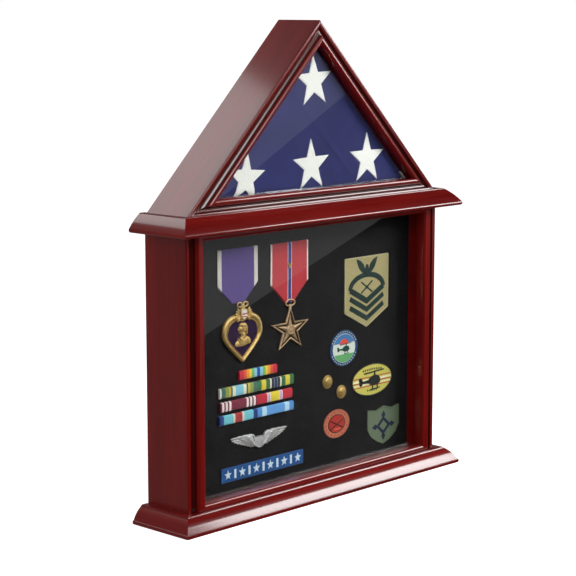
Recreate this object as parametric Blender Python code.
"""Folded flag display case: a gabled flag frame standing on a shadow box, both opened from the back.

Lengths are millimetres until a mesh is made, which scales them to Blender's metres. Depths are counted
from the frames' front plane towards the back. +X is to the viewer's right, +Y to the back and +Z up.
The origin is on the ground, under the middle of the object's bounding box.
"""

import math

import bmesh
import bpy
from mathutils import Matrix, Vector

MM = 0.001
GAP = 0.3  # between pieces that touch
HALF_GAP = GAP / 2

# Case: two frames of one moulding, one above the other.
CASE_W = 380.0
CASE_D = 59.5
SPLIT_Z = 310.0  # underside of the gable frame
BOX_BOTTOM = 2.0  # the base moulding reaches a little lower
BOX_TOP = SPLIT_Z - GAP
GABLE_H = CASE_W / 2  # the roof slopes at 45 degrees
APEX_Z = SPLIT_Z + GABLE_H

# Frame moulding, across its face from the outer edge and back from the front plane.
EDGE_R = 1.2
FILLET_W = 4.4
FILLET_SLOPE = 0.7
COVE_START = 4.6
COVE_EDGE = 1.4
COVE_DIP = 1.5
BEAD_START = 10.7
BEAD_R = 3.35
BOX_LIP = 22.0
GABLE_LIP = 17.4
WALL = 13.4
BOX_LIP_BACK = 8.2
GABLE_LIP_BACK = 5.4

# Base and cornice mouldings, outwards from the case's sides and up.
OVERHANG = 21.3
BASE_H = 18.0
BASE_EDGE = 3.0
BASE_LEDGE = 9.0
BASE_NOSE_R = 1.2
BASE_FOOT_R = 0.8
BASE_BULGE = 1.2
CORNICE_Z = 294.8
CORNICE_NOSE_R = 2.6
CORNICE_LEDGE = 6.5
CORNICE_BULGE = 0.8
CORNICE_TOP = SPLIT_Z + 3.5  # it covers the foot of the gable frame
LEDGE_CHAMFER = 0.7

# What lies behind the lips, as depths from the front plane.
PANE_T = 2.0
BOX_GLASS = BOX_LIP_BACK + GAP
SPACER_FRONT = BOX_GLASS + PANE_T + GAP
SPACER_T = 2.5
GABLE_GLASS = GABLE_LIP_BACK + GAP
STOP_FRONT = GABLE_GLASS + PANE_T + GAP
STOP_BACK = STOP_FRONT + 4.0
STOP_T = 2.0
BOARD_FRONT = 26.3
BOARD_BACK = 36.3
PANEL_BACK = CASE_D - 1.0
PANEL_FRONT = PANEL_BACK - 3.0
FILLER_BACK = PANEL_FRONT - GAP
INSERT_PLAY = 0.5
FLAG_FRONT = STOP_FRONT + 0.4
FLAG_BACK = PANEL_FRONT - 0.4

# Back hardware.
BUTTON_FRONT = CASE_D + GAP
BUTTON_T = 1.2
BUTTON_R = 5.0
BUTTON_REACH = 11.0
BUTTON_PIVOT = 6.4  # in from the moulding's outer edge
SCREW_R = 1.75
SCREW_HEAD_R = 3.6
SCREW_HEAD_H = 1.6
SCREW_DEPTH = 10.0
HOLE_R = SCREW_R + GAP
HEAD_FRONT = BUTTON_FRONT + BUTTON_T + GAP
BACK_END = HEAD_FRONT + SCREW_HEAD_H
ROUND_SIDES = 16

# Where the front plane lies, so that the origin is under the middle of the bounding box.
FRONT_Y = OVERHANG - (OVERHANG + BACK_END) / 2

# Mounted pieces: they stand clear of the felt by the gap.
MOUNT_BACK = BOARD_FRONT - GAP


# --- helpers -------------------------------------------------------------------------------------


def clear_scene():
    for obj in list(bpy.data.objects):
        bpy.data.objects.remove(obj)


def material(name, colour, roughness, metallic=0.0, alpha=1.0):
    made = bpy.data.materials.new(name)
    made.use_nodes = True
    shader = made.node_tree.nodes["Principled BSDF"]
    shader.inputs["Base Color"].default_value = (*colour, 1.0)
    shader.inputs["Roughness"].default_value = roughness
    shader.inputs["Metallic"].default_value = metallic
    shader.inputs["Alpha"].default_value = alpha
    made.diffuse_color = (*colour, 1.0)
    return made


def at(x, depth, z):
    """A point given by its depth behind the front plane."""
    return Vector((x, FRONT_Y + depth, z))


def finish_mesh(name, bm, finish, origin=Vector()):
    """An object from a bmesh in millimetres, with its origin moved to a point."""
    bmesh.ops.recalc_face_normals(bm, faces=bm.faces)
    bmesh.ops.transform(bm, matrix=Matrix.Scale(MM, 4) @ Matrix.Translation(-origin), verts=bm.verts)
    mesh = bpy.data.meshes.new(name)
    bm.to_mesh(mesh)
    bm.free()
    mesh.shade_smooth()
    mesh.set_sharp_from_angle(angle=math.radians(35))
    mesh.materials.append(finish)
    obj = bpy.data.objects.new(name, mesh)
    obj.location = origin * MM
    bpy.context.collection.objects.link(obj)
    return obj


def loft(name, rings, finish, origin=Vector()):
    """A closed solid through rings of equal length, capped at both ends."""
    bm = bmesh.new()
    loops = [[bm.verts.new(point) for point in ring] for ring in rings]
    count = len(loops[0])
    for low, high in zip(loops, loops[1:]):
        for i in range(count):
            j = (i + 1) % count
            bm.faces.new((low[i], low[j], high[j], high[i]))
    bm.faces.new(loops[0])
    bm.faces.new(loops[-1])
    return finish_mesh(name, bm, finish, origin)


def arc(centre, radius, start, end, steps):
    """Points on a circle from one angle to another, in degrees, both ends included."""
    points = []
    for i in range(steps + 1):
        angle = math.radians(start + (end - start) * i / steps)
        points.append((centre[0] + radius * math.cos(angle), centre[1] + radius * math.sin(angle)))
    return points


def rounded(corners, radius, steps=4):
    """A polygon's outline with each corner turned into an arc, seen as (x, z) pairs."""
    outline = []
    count = len(corners)
    for i, corner in enumerate(corners):
        here = Vector(corner)
        before = (Vector(corners[i - 1]) - here).normalized()
        after = (Vector(corners[(i + 1) % count]) - here).normalized()
        half = before.angle(after) / 2
        bisector = (before + after).normalized()
        centre = here + bisector * (radius / math.sin(half))
        start = here + before * (radius / math.tan(half)) - centre
        end = here + after * (radius / math.tan(half)) - centre
        turn = start.angle_signed(end)
        for step in range(steps + 1):
            spoke = start.copy()
            spoke.rotate(Matrix.Rotation(-turn * step / steps, 2))
            outline.append(tuple(centre + spoke))
    return outline


def plate(name, outline, front, back, finish, edge=0.0, origin=Vector()):
    """An (x, z) outline given thickness between two depths, its front edge taken in a little."""
    middle_x = sum(x for x, _ in outline) / len(outline)
    middle_z = sum(z for _, z in outline) / len(outline)
    reach = max(max(abs(x - middle_x), abs(z - middle_z)) for x, z in outline)
    shrink = 1 - edge / reach
    rings = [[at(x, back, z) for x, z in outline]]
    rings.append([at(x, front + edge, z) for x, z in outline])
    if edge:
        inner = []
        for x, z in outline:
            inner.append(at(middle_x + (x - middle_x) * shrink, front, middle_z + (z - middle_z) * shrink))
        rings.append(inner)
    return loft(name, rings, finish, origin)


def block(name, x_range, depth_range, z_range, finish):
    low_x, high_x = x_range
    low_z, high_z = z_range
    outline = [(low_x, low_z), (high_x, low_z), (high_x, high_z), (low_x, high_z)]
    return plate(name, outline, *depth_range, finish)


def turned(name, profile, axis_point, direction, finish):
    """A solid of revolution: profile pairs are (radius, distance along the axis)."""
    turn = Vector((0, 0, 1)).rotation_difference(direction)
    rings = []
    for radius, distance in profile:
        ring = []
        for i in range(ROUND_SIDES):
            angle = 2 * math.pi * i / ROUND_SIDES
            spoke = Vector((radius * math.cos(angle), radius * math.sin(angle), distance))
            ring.append(axis_point + turn @ spoke)
        rings.append(ring)
    return loft(name, rings, finish, axis_point)


def cut(obj, cutter):
    """Takes a helper solid away from an object."""
    cutter.hide_render = True
    cutter.display_type = "WIRE"
    hole = obj.modifiers.new("cut", "BOOLEAN")
    hole.operation = "DIFFERENCE"
    hole.solver = "EXACT"
    hole.object = cutter


def drill(obj, name, start, direction, depth, radius=HOLE_R):
    """A round hole from a point on the surface; the cutter starts a little outside it."""
    clearance = 1.0
    profile = [(radius, -clearance), (radius, depth)]
    cut(obj, turned(name, profile, start, direction, obj.data.materials[0]))


def attach(empty_name, centre, pieces):
    """Puts a moving group under one empty, leaving the pieces where they are."""
    empty = bpy.data.objects.new(empty_name, None)
    empty.location = centre * MM
    bpy.context.collection.objects.link(empty)
    for piece in pieces:
        piece.parent = empty
        piece.location -= empty.location


# --- frame mouldings -----------------------------------------------------------------------------


def frame_profile(lip, lip_back):
    """Pairs (inwards across the face, depth): edge, fillet, cove, a bead that fills the lip, rebate."""
    points = [(0.0, CASE_D)]
    points += arc((EDGE_R, EDGE_R), EDGE_R, 180, 270, 3)
    points.append((FILLET_W, FILLET_SLOPE))
    for step in range(6):
        share = step / 5
        dip = COVE_DIP * math.sin(math.pi * share)
        points.append((COVE_START + (BEAD_START - COVE_START) * share, COVE_EDGE + dip))
    points += arc((BEAD_START + BEAD_R, 0.0), BEAD_R, 180, 270, 5)
    rise_end = lip - BEAD_R
    far_side = arc((rise_end, 0.0), BEAD_R, 270, 360, 5)
    flat = rise_end - BEAD_START - BEAD_R
    points += far_side if flat > GAP else far_side[1:]
    points += [(lip, lip_back), (WALL, lip_back), (WALL, CASE_D)]
    return points


def mitred_bar(name, start, along, inward, length, mitres, profile, finish):
    """A moulding of the given profile, each end cut on a plane.

    A mitre value is how far the end moves in along the bar for each unit across its face.
    """
    rings = []
    for end, mitre in zip((0, 1), mitres):
        trim = HALF_GAP * math.hypot(1, mitre)
        ring = []
        for across, depth in profile:
            inset = mitre * across + trim
            reach = length - inset if end else inset
            ring.append(start + along * reach + inward * across + Vector((0, depth, 0)))
        rings.append(ring)
    return loft(name, rings, finish)


def box_frame(wood):
    """The four mitred mouldings of the shadow box."""
    half = CASE_W / 2
    height = BOX_TOP - BOX_BOTTOM
    left_low, right_low = at(-half, 0, BOX_BOTTOM), at(half, 0, BOX_BOTTOM)
    left_top = at(-half, 0, BOX_TOP)
    right, up = Vector((1, 0, 0)), Vector((0, 0, 1))
    square = (1, 1)
    profile = frame_profile(BOX_LIP, BOX_LIP_BACK)
    bars = {
        "left": (left_low, up, right, height),
        "right": (right_low, up, -right, height),
        "bottom": (left_low, right, up, CASE_W),
        "top": (left_top, right, -up, CASE_W),
    }
    made = {}
    for side, run in bars.items():
        made[side] = mitred_bar(f"box_{side}_moulding", *run, square, profile, wood)
    return made


def gable_frame(wood):
    """The three mitred mouldings of the triangular flag frame."""
    half = CASE_W / 2
    left_foot, apex = at(-half, 0, SPLIT_Z), at(0, 0, APEX_Z)
    slope = math.hypot(half, GABLE_H)
    foot = 1 / math.tan(math.radians(22.5))
    rise, fall = Vector((1, 0, 1)).normalized(), Vector((1, 0, -1)).normalized()
    profile = frame_profile(GABLE_LIP, GABLE_LIP_BACK)
    up = Vector((0, 0, 1))
    along = Vector((1, 0, 0))
    bars = {
        "left": (left_foot, rise, fall, slope, (foot, 1)),
        "right": (apex, fall, -rise, slope, (1, foot)),
        "bottom": (left_foot, along, up, CASE_W, (foot, foot)),
    }
    made = {}
    for side, run in bars.items():
        made[side] = mitred_bar(f"gable_{side}_moulding", *run, profile, wood)
    return made


# --- base and cornice ----------------------------------------------------------------------------


def crowned(start, end, bulge, steps=4):
    """Points on a slope from start to end, raised in the middle; the start is left out."""
    along = Vector(end) - Vector(start)
    outward = Vector((-along.y, along.x)).normalized()
    if outward.y < 0:
        outward = -outward
    points = []
    for step in range(1, steps + 1):
        share = step / steps
        points.append(tuple(Vector(start) + along * share + outward * bulge * math.sin(math.pi * share)))
    return points


def base_profile():
    """Pairs (outwards from the case, height): a ledge, a slightly crowned slope and an upright edge."""
    ledge_end = (BASE_LEDGE + LEDGE_CHAMFER, BASE_H - BASE_NOSE_R)
    slope_end = (OVERHANG - BASE_NOSE_R, BASE_EDGE + BASE_FOOT_R)
    points = [(GAP, 0.0), (GAP, BASE_H), (BASE_LEDGE, BASE_H), ledge_end]
    points += crowned(ledge_end, slope_end, BASE_BULGE)
    points += arc((OVERHANG - BASE_NOSE_R, BASE_EDGE), BASE_NOSE_R, 35, 0, 2)
    points += arc((OVERHANG - BASE_FOOT_R, BASE_FOOT_R), BASE_FOOT_R, 0, -90, 2)
    return points


def cornice_profile():
    """Pairs (outwards from the case, height): an underside, a rounded nose, a crowned slope and a ledge."""
    nose = (OVERHANG - CORNICE_NOSE_R, CORNICE_Z + CORNICE_NOSE_R)
    slope_top = (CORNICE_LEDGE + LEDGE_CHAMFER, CORNICE_TOP - LEDGE_CHAMFER)
    points = [(GAP, CORNICE_Z)]
    points += arc(nose, CORNICE_NOSE_R, -90, 40, 7)
    points += crowned(points[-1], slope_top, CORNICE_BULGE)
    points += [(CORNICE_LEDGE, CORNICE_TOP), (GAP, CORNICE_TOP)]
    return points


def wrapped_moulding(prefix, profile, wood):
    """One moulding round the front and both sides, mitred at the front corners."""
    half = CASE_W / 2
    front, left, right = [], [], []
    trim = HALF_GAP * math.sqrt(2)
    for side in (-1, 1):
        front.append([at(side * (half + out - trim), -out, z) for out, z in profile])
    for side, rings in ((-1, left), (1, right)):
        rings.append([at(side * (half + out), -out + trim, z) for out, z in profile])
        rings.append([at(side * (half + out), CASE_D, z) for out, z in profile])
    loft(f"{prefix}_left_moulding", left, wood)
    loft(f"{prefix}_right_moulding", right, wood)
    return loft(f"{prefix}_front_moulding", front, wood)


def scribe(moulding, bead_low, bead_high):
    """Notches a front moulding round the bead of the rail that it covers."""
    half = CASE_W / 2 - BEAD_START + GAP
    crown = -BEAD_R - GAP
    heights = (bead_low - GAP, bead_high + GAP)
    finish = moulding.data.materials[0]
    cutter = block(f"{moulding.name}_scribe", (-half, half), (crown, GAP * 3), heights, finish)
    cut(moulding, cutter)


# --- glazing, linings and inserts ----------------------------------------------------------------


def gable_outline(inset):
    """The gable's triangle taken in by a distance from all three outer faces, as (x, z) pairs."""
    foot = inset / math.tan(math.radians(22.5))
    half = CASE_W / 2
    low = SPLIT_Z + inset
    return [(foot - half, low), (half - foot, low), (0, APEX_Z - inset * math.sqrt(2))]


def box_glazing(glass, wood):
    """The front pane and the four spacer strips that hold the board off it."""
    half = CASE_W / 2 - WALL - GAP
    low, high = BOX_BOTTOM + WALL + GAP, BOX_TOP - WALL - GAP
    block("display_glass", (-half, half), (BOX_GLASS, BOX_GLASS + PANE_T), (low, high), glass)
    depths = (SPACER_FRONT, BOARD_FRONT - GAP)
    block("spacer_bottom", (-half, half), depths, (low, low + SPACER_T), wood)
    block("spacer_top", (-half, half), depths, (high - SPACER_T, high), wood)
    upright = (low + SPACER_T + GAP, high - SPACER_T - GAP)
    block("spacer_left", (-half, SPACER_T - half), depths, upright, wood)
    block("spacer_right", (half - SPACER_T, half), depths, upright, wood)


def gable_glazing(glass, wood):
    """The triangular pane and the three strips that keep it in its rebate."""
    plate("gable_glass", gable_outline(WALL + GAP), GABLE_GLASS, GABLE_GLASS + PANE_T, glass)
    outer, inner = gable_outline(WALL + GAP), gable_outline(WALL + GAP + STOP_T)
    names = ("gable_stop_bottom", "gable_stop_right", "gable_stop_left")
    for i, name in enumerate(names):
        j = (i + 1) % 3
        along = (Vector(outer[j]) - Vector(outer[i])).normalized()
        corners = []
        for corner, shift in ((outer[i], GAP), (outer[j], -GAP), (inner[j], -GAP), (inner[i], GAP)):
            corners.append(tuple(Vector(corner) + along * shift))
        plate(name, corners, STOP_FRONT, STOP_BACK, wood)


def display_insert(felt, foam, board):
    """The felted board, the foam behind it and the back panel, which come out together."""
    half = CASE_W / 2 - WALL - INSERT_PLAY
    low, high = BOX_BOTTOM + WALL + INSERT_PLAY, BOX_TOP - WALL - INSERT_PLAY
    wide, tall = (-half, half), (low, high)
    return [
        block("display_board", wide, (BOARD_FRONT, BOARD_BACK), tall, felt),
        block("foam_filler", wide, (BOARD_BACK + GAP, FILLER_BACK), tall, foam),
        block("display_back_panel", wide, (PANEL_FRONT, PANEL_BACK), tall, board),
    ]


def flag_insert(cloth, board):
    """The folded flag, a crowned triangular bundle, and the triangular panel behind it."""
    behind_stops = STOP_BACK + 1.0
    steps = ((0.8, FLAG_BACK, 9), (0.8, behind_stops + 3.0, 9), (2.3, behind_stops, 9))
    steps += ((3.4, FLAG_FRONT + 1.6, 8), (7.0, FLAG_FRONT + 0.5, 8), (18.0, FLAG_FRONT, 6))
    rings = []
    for inset, depth, radius in steps:
        outline = rounded(gable_outline(WALL + INSERT_PLAY + inset), radius)
        rings.append([at(x, depth, z) for x, z in outline])
    flag = loft("folded_flag", rings, cloth)
    corners = rounded(gable_outline(WALL + INSERT_PLAY), 3)
    panel = plate("flag_back_panel", corners, PANEL_FRONT, PANEL_BACK, board)
    return [flag, panel]


# --- back hardware -------------------------------------------------------------------------------


def turn_button(name, moulding, pivot, rest, metal):
    """A stadium-shaped plate on a round-head screw; rest is the way its tongue points."""
    side = Vector((rest.z, 0, -rest.x))
    tail, tip = (-1.0, 0.0), (BUTTON_REACH, 0.0)
    ends = arc(tip, BUTTON_R, -90, 90, 8) + arc(tail, BUTTON_R, 90, 270, 8)
    outline = []
    for along, across in ends:
        point = pivot + rest * along + side * across
        outline.append((point.x, point.z))
    button = plate(name, outline, BUTTON_FRONT, BUTTON_FRONT + BUTTON_T, metal, origin=pivot)
    back = Vector((0, 1, 0))
    face = Vector((pivot.x, FRONT_Y + CASE_D, pivot.z))
    drill(button, f"{name}_bore", face, back, BUTTON_T + 2 * GAP + 1)
    drill(moulding, f"{name}_pilot", face, -back, SCREW_DEPTH + GAP)
    head = HEAD_FRONT - CASE_D
    profile = [(SCREW_R, -SCREW_DEPTH), (SCREW_R, head), (SCREW_HEAD_R, head)]
    profile += [(SCREW_HEAD_R * 0.92, head + SCREW_HEAD_H * 0.55), (SCREW_HEAD_R * 0.5, head + SCREW_HEAD_H)]
    turned(f"{name}_screw", profile, face, back, metal)


def back_hardware(box, gable, metal):
    """Four turn-buttons on the box and three on the gable, stored along their mouldings."""
    down = Vector((0, 0, -1))
    reach = CASE_W / 2 - BUTTON_PIVOT
    for row, z in (("lower", 90.0), ("upper", 230.0)):
        for side, x in (("left", -reach), ("right", reach)):
            turn_button(f"box_button_{row}_{side}", box[side], at(x, CASE_D, z), down, metal)
    drop = BUTTON_PIVOT * math.sqrt(2)
    middle_x, middle_z = CASE_W / 4, SPLIT_Z + GABLE_H / 2
    for side, sign in (("left", -1), ("right", 1)):
        pivot = at(sign * (middle_x - drop / 2), CASE_D, middle_z - drop / 2)
        down_slope = Vector((sign, 0, -1)).normalized()
        turn_button(f"gable_button_{side}", gable[side], pivot, down_slope, metal)
    pivot = at(0, CASE_D, SPLIT_Z + BUTTON_PIVOT)
    turn_button("gable_button_bottom", gable["bottom"], pivot, Vector((1, 0, 0)), metal)


def join_screws(box, gable, metal):
    """Two screws, sunk into the box's top moulding, that hold the gable down on it."""
    up = Vector((0, 0, 1))
    under = BOX_TOP - WALL
    into_gable = 8.0
    sunk = 0.3
    for side, x in (("left", -110.0), ("right", 110.0)):
        foot = at(x, CASE_D / 2 + 8, under)
        drill(box["top"], f"join_bore_{side}", foot, up, WALL + 1)
        drill(box["top"], f"join_recess_{side}", foot, up, sunk + SCREW_HEAD_H + GAP, SCREW_HEAD_R + GAP)
        drill(gable["bottom"], f"join_pilot_{side}", foot + up * WALL, up, into_gable + GAP * 2)
        length = WALL + into_gable
        neck = sunk + SCREW_HEAD_H
        profile = [(SCREW_HEAD_R, sunk), (SCREW_HEAD_R, neck), (SCREW_R, neck)]
        profile += [(SCREW_R, length - 2), (0.4, length)]
        turned(f"join_screw_{side}", profile, foot, up, metal)


# --- mounted pieces ------------------------------------------------------------------------------


def pointed_ribbon(name, left, right, top, shoulder, point_half, bottom, cloth):
    """A hanging ribbon with straight sides that draws in to a blunt point."""
    middle = (left + right) / 2
    outline = [(left, top), (left, shoulder), (middle - point_half, bottom)]
    outline += [(middle + point_half, bottom), (right, shoulder), (right, top)]
    return plate(name, outline, MOUNT_BACK - 1.6, MOUNT_BACK, cloth, edge=0.4)


def smooth_outline(corners, passes):
    """Rounds a polygon by cutting its corners again and again."""
    points = [Vector(corner) for corner in corners]
    for _ in range(passes):
        cut_points = []
        for k, here in enumerate(points):
            after = points[(k + 1) % len(points)]
            cut_points += [here.lerp(after, 0.25), here.lerp(after, 0.75)]
        points = cut_points
    return points


def heart_medal(metal):
    """A full heart with a sharp foot."""
    middle_x, foot_z, half_w, height = -91.0, 153.6, 28.8, 50.4
    half = [(0.0, 0.95), (0.4, 1.02), (0.82, 0.92), (1.0, 0.73), (1.02, 0.55)]
    half += [(0.86, 0.4), (0.56, 0.21), (0.12, -0.01), (0.0, -0.03)]
    points = smooth_outline(half + [(-u, w) for u, w in reversed(half[1:-1])], 2)
    low, high = min(w for _, w in points), max(w for _, w in points)
    wide = max(u for u, _ in points)
    outline = [(middle_x + half_w * u / wide, foot_z + height * (w - low) / (high - low)) for u, w in points]
    return plate("heart_medal", outline, MOUNT_BACK - 4.2, MOUNT_BACK, metal, edge=1.2)


def star_outline(centre, radius, inner_share, widen=1.2, points=5):
    """A star with one point up, made a little wider than it is high."""
    outline = []
    for i in range(2 * points):
        angle = math.pi / 2 + math.pi * i / points
        reach = radius if i % 2 == 0 else radius * inner_share
        outline.append((centre[0] + widen * reach * math.cos(angle), centre[1] + reach * math.sin(angle)))
    return outline


def star_medal(metal):
    """A five-pointed star whose arms are ridged."""
    centre = (-20.5, 178.3)
    outline = star_outline(centre, 24.8, 0.42)
    rings = [[at(x, MOUNT_BACK, z) for x, z in outline]]
    rings.append([at(x, MOUNT_BACK - 1.2, z) for x, z in outline])
    small = star_outline(centre, 6.0, 0.55)
    rings.append([at(x, MOUNT_BACK - 3.6, z) for x, z in small])
    return loft("star_medal", rings, metal)


def ribbon_bars(cloth):
    """Four rows of service ribbons: one short row over three long ones."""
    rows = ((-96.2, -40.9, 135.2, 144.6), (-124.6, -15.7, 119.6, 130.2))
    rows += ((-123.6, -17.8, 105.3, 115.4), (-124.8, -15.7, 91.6, 101.4))
    made = []
    for i, (left, right, low, high) in enumerate(rows):
        outline = [(left, low), (right, low), (right, high), (left, high)]
        made.append(plate(f"ribbon_bar_{i + 1}", outline, MOUNT_BACK - 3.0, MOUNT_BACK, cloth, edge=0.5))
    return made


def wings_badge(metal):
    """A pair of spread wings either side of a shield that hangs lower."""
    centre_x, centre_z, span = -66.7, 68.0, 41.2
    half = [(0.0, 4.3), (0.17, 4.1), (0.19, 3.0), (0.2, 5.4), (0.27, 7.6), (0.5, 8.5), (0.8, 8.4), (1.0, 7.9)]
    half += [(0.97, 4.6), (0.8, 0.8), (0.55, -2.6), (0.35, -5.2), (0.18, -6.6), (0.12, -8.4), (0.0, -9.3)]
    outline = [(centre_x + span * u, centre_z + w) for u, w in half]
    outline += [(centre_x - span * u, centre_z + w) for u, w in reversed(half[1:-1])]
    return plate("wings_badge", outline, MOUNT_BACK - 3.0, MOUNT_BACK, metal, edge=0.5)


def oval(centre, half_w, half_h, sides=28):
    turns = [2 * math.pi * i / sides for i in range(sides)]
    return [(centre[0] + half_w * math.cos(t), centre[1] + half_h * math.sin(t)) for t in turns]


def domed_pin(name, centre, metal):
    """An oval button with a high dome."""
    rings = []
    for share, rise in ((1.0, 0.0), (1.0, 1.4), (0.86, 2.9), (0.6, 4.0), (0.25, 4.5)):
        outline = oval(centre, 7.4 * share, 5.8 * share, 20)
        rings.append([at(x, MOUNT_BACK - rise, z) for x, z in outline])
    return loft(name, rings, metal)


def patches(finishes):
    """The embroidered tape and patches, and the two small domed pins."""
    thin = (MOUNT_BACK - 1.4, MOUNT_BACK)
    tape = [(-121.2, 30.3), (1.0, 30.3), (1.0, 45.7), (-121.2, 45.7)]
    rank = [(66.0, 243.7), (66.0, 183.6), (103.0, 165.2), (138.2, 184.8), (138.2, 243.7)]
    shield = [(105.0, 71.5), (105.0, 45.0), (117.0, 33.5), (131.8, 28.0)]
    shield += [(146.6, 33.5), (158.6, 45.0), (158.6, 71.5)]
    made = [
        plate("name_tape", tape, *thin, finishes["blue"], edge=0.4),
        plate("rank_patch", rank, *thin, finishes["khaki"], edge=0.4),
        plate("round_patch", oval((65.3, 146.4), 22.6, 20.0), *thin, finishes["blue"], edge=0.4),
        plate("oval_patch", oval((112.2, 104.5), 33.6, 18.2), *thin, finishes["yellow"], edge=0.4),
        plate("red_patch", oval((53.9, 64.1), 21.0, 15.8), *thin, finishes["red"], edge=0.4),
        plate("shield_patch", shield, *thin, finishes["khaki"], edge=0.4),
    ]
    for i, centre in enumerate(((38.8, 112.9), (61.1, 98.6))):
        made.append(domed_pin(f"button_pin_{i + 1}", centre, finishes["brass"]))
    return made


def mounted_pieces(finishes):
    """Everything pinned to the felt."""
    made = [
        pointed_ribbon("heart_ribbon", -124.8, -67.8, 271.9, 234.0, 8.6, 215.2, finishes["purple"]),
        pointed_ribbon("star_ribbon", -48.7, 8.0, 270.8, 223.4, 6.0, 206.8, finishes["red"]),
        heart_medal(finishes["brass"]),
        star_medal(finishes["bronze"]),
        wings_badge(finishes["silver"]),
    ]
    made += ribbon_bars(finishes["ribbon"])
    made += patches(finishes)
    return made


# --- assembly ------------------------------------------------------------------------------------


def make_finishes():
    return {
        "wood": material("mahogany_lacquer", (0.16, 0.012, 0.008), 0.14),
        "glass": material("clear_glass", (0.9, 0.95, 0.95), 0.02, alpha=0.15),
        "felt": material("black_felt", (0.012, 0.012, 0.013), 0.95),
        "foam": material("grey_foam", (0.3, 0.3, 0.31), 0.9),
        "board": material("brown_board", (0.09, 0.045, 0.025), 0.75),
        "flag": material("flag_cloth", (0.02, 0.025, 0.13), 0.85),
        "steel": material("plated_steel", (0.62, 0.6, 0.56), 0.3, 1.0),
        "brass": material("gilt_brass", (0.72, 0.48, 0.17), 0.3, 1.0),
        "bronze": material("dark_bronze", (0.36, 0.2, 0.11), 0.35, 1.0),
        "silver": material("oxidised_silver", (0.6, 0.6, 0.6), 0.35, 1.0),
        "purple": material("purple_ribbon", (0.1, 0.04, 0.24), 0.7),
        "red": material("red_ribbon", (0.5, 0.02, 0.03), 0.7),
        "ribbon": material("mixed_ribbon", (0.25, 0.3, 0.4), 0.7),
        "blue": material("blue_twill", (0.02, 0.08, 0.3), 0.8),
        "khaki": material("khaki_twill", (0.3, 0.33, 0.2), 0.8),
        "yellow": material("yellow_twill", (0.75, 0.6, 0.15), 0.8),
    }


def build():
    clear_scene()
    finishes = make_finishes()
    wood, metal = finishes["wood"], finishes["steel"]
    box = box_frame(wood)
    gable = gable_frame(wood)
    base = wrapped_moulding("base", base_profile(), wood)
    scribe(base, BOX_BOTTOM + BEAD_START, BOX_BOTTOM + BOX_LIP)
    cornice = wrapped_moulding("cornice", cornice_profile(), wood)
    scribe(cornice, BOX_TOP - BOX_LIP, BOX_TOP - BEAD_START)
    box_glazing(finishes["glass"], wood)
    gable_glazing(finishes["glass"], wood)
    insert = display_insert(finishes["felt"], finishes["foam"], finishes["board"])
    insert += mounted_pieces(finishes)
    attach("display_insert_slide", at(0, PANEL_BACK, (BOX_BOTTOM + BOX_TOP) / 2), insert)
    flag = flag_insert(finishes["flag"], finishes["board"])
    attach("flag_insert_slide", at(0, PANEL_BACK, SPLIT_Z + GABLE_H / 3), flag)
    back_hardware(box, gable, metal)
    join_screws(box, gable, metal)


build()
